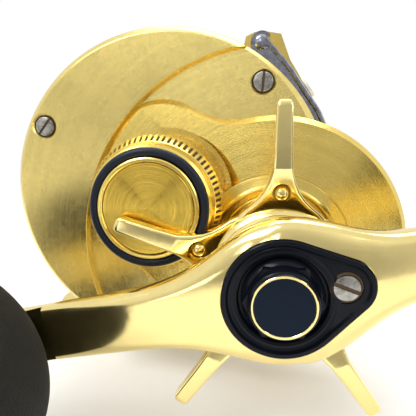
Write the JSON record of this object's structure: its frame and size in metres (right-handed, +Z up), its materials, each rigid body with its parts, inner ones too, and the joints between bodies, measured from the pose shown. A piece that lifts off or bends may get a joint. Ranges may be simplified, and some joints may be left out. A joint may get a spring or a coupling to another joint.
{
  "type": "baitcasting reel",
  "caption": "Small round multiplier reel for trolling and bait casting, with a star drag, a double handle, a tension knob, a level wind and a rod seat foot.",
  "frame": {"origin": "middle of the foot's flat underside, under the spool's middle", "axes": "+X forward to the rod tip, +Y to the palm side along the spool axis, +Z up from the foot"},
  "size_m": [0.1114, 0.0833, 0.0606],
  "materials": {
    "gold_satin": "satin gold anodised",
    "gold_turned": "fine lathe turned, gold anodised",
    "gold_polished": "polished gold anodised",
    "chrome": "polished",
    "steel": "turned and slotted",
    "brass": "machined",
    "dark_anodised": "gloss navy black",
    "black_plastic": "gloss black",
    "pale_plastic": "moulded",
    "knob_foam": "dense matte foam rubber",
    "dark_rubber": "smooth ring",
    "fibre": "woven carbon fibre"
  },
  "bodies": {
    "frame": {"frame": "gold_satin", "gear_side_cover": "gold_satin", "palm_side_cover": "gold_satin", "reel_foot": "gold_satin", "cover_screws": "steel", "palm_screws": "steel", "foot_screws": "steel", "palm_bearing": "steel", "tension_side_bearing": "steel", "pinion_bearing": "steel", "drive_shaft_bearing": "steel", "roller_clutch": "steel", "yoke_posts": "steel", "worm_guard_tube": "steel", "guide_rod": "steel", "brake_drum": "steel", "worm_bushings": "pale_plastic"},
    "spool": {"spool": "gold_satin", "spool_shaft": "steel", "spool_pin": "steel", "brake_rotor": "black_plastic", "brake_blocks": "pale_plastic"},
    "yoke": {"yoke": "steel", "yoke_springs": "steel"},
    "pinion": {"pinion_gear": "brass"},
    "crank": {"drive_shaft": "steel", "drive_gear": "brass", "fibre_washers": "fibre", "steel_washers": "steel", "pressure_plate": "steel", "ratchet_wheel": "steel", "clutch_sleeve": "steel", "wind_drive_wheel": "pale_plastic", "spring_washers": "steel", "handle_arm": "gold_polished", "handle_nut": "dark_anodised", "nut_cap": "dark_anodised", "retainer_plate": "black_plastic", "retainer_screw": "steel", "knob_posts": "steel"},
    "star": {"star_drag": "gold_polished", "drag_nut": "steel"},
    "front_knob": {"front_knob": "knob_foam", "front_knob_bearings": "steel"},
    "rear_knob": {"rear_knob": "knob_foam", "rear_knob_bearings": "steel"},
    "tension_knob": {"tension_knob": "gold_turned", "tension_ring": "dark_rubber"},
    "thumb_bar": {"thumb_bar": "gold_satin", "release_plate": "steel"},
    "dog": {"anti_reverse_dog": "steel"},
    "worm": {"worm_shaft": "steel", "worm_wheel": "pale_plastic"},
    "line_guide": {"line_guide": "gold_turned", "guide_cheeks": "chrome", "line_ring": "pale_plastic", "wind_pawl": "brass"},
    "brake_dial": {"brake_dial": "gold_turned"}
  },
  "joints": [
    {"name": "crank_turn", "type": "hinge", "parent": "frame", "child": "crank", "pos_m": [0.0163, 0, 0.0201], "axis": [0, -1, 0], "continuous": true},
    {"name": "spool_spin", "type": "hinge", "parent": "frame", "child": "spool", "pos_m": [0, 0, 0.028], "axis": [0, -1, 0], "continuous": true},
    {"name": "thumb_press", "type": "slide", "parent": "frame", "child": "thumb_bar", "axis": [0, 0, -1], "range_m": [0, 0.003]},
    {"name": "yoke_lift", "type": "slide", "parent": "frame", "child": "yoke", "axis": [0, -1, 0], "range_m": [0, 0.00085]},
    {"name": "pinion_spin", "type": "hinge", "parent": "yoke", "child": "pinion", "pos_m": [0, 0, 0.028], "axis": [0, -1, 0], "continuous": true},
    {"name": "star_turn", "type": "hinge", "parent": "crank", "child": "star", "pos_m": [0.0163, 0, 0.0201], "axis": [0, -1, 0], "range_deg": [-90, 180]},
    {"name": "front_knob_spin", "type": "hinge", "parent": "crank", "child": "front_knob", "pos_m": [0.05696, 0, 0.03062], "axis": [0, -1, 0], "continuous": true},
    {"name": "rear_knob_spin", "type": "hinge", "parent": "crank", "child": "rear_knob", "pos_m": [-0.02436, 0, 0.00958], "axis": [0, -1, 0], "continuous": true},
    {"name": "tension_turn", "type": "hinge", "parent": "frame", "child": "tension_knob", "pos_m": [0, 0, 0.028], "axis": [0, -1, 0], "range_deg": [-180, 180]},
    {"name": "dog_pivot", "type": "hinge", "parent": "frame", "child": "dog", "pos_m": [0.02165, 0, 0.01003], "axis": [0, -1, 0], "range_deg": [-6, 20]},
    {"name": "worm_spin", "type": "hinge", "parent": "frame", "child": "worm", "pos_m": [0.0237, 0, 0.0299], "axis": [0, -1, 0], "continuous": true},
    {"name": "guide_travel", "type": "slide", "parent": "frame", "child": "line_guide", "axis": [0, 1, 0], "range_m": [-0.007, 0.007]},
    {"name": "brake_dial_turn", "type": "hinge", "parent": "frame", "child": "brake_dial", "pos_m": [0, 0, 0.028], "axis": [0, 1, 0], "range_deg": [0, 270]}
  ],
  "couplings": [
    {"joint": "spool_spin", "follows": "crank_turn", "ratio": -6},
    {"joint": "pinion_spin", "follows": "crank_turn", "ratio": -6},
    {"joint": "worm_spin", "follows": "crank_turn", "ratio": -1.9286},
    {"joint": "yoke_lift", "follows": "thumb_press", "ratio": 0.28333}
  ]
}
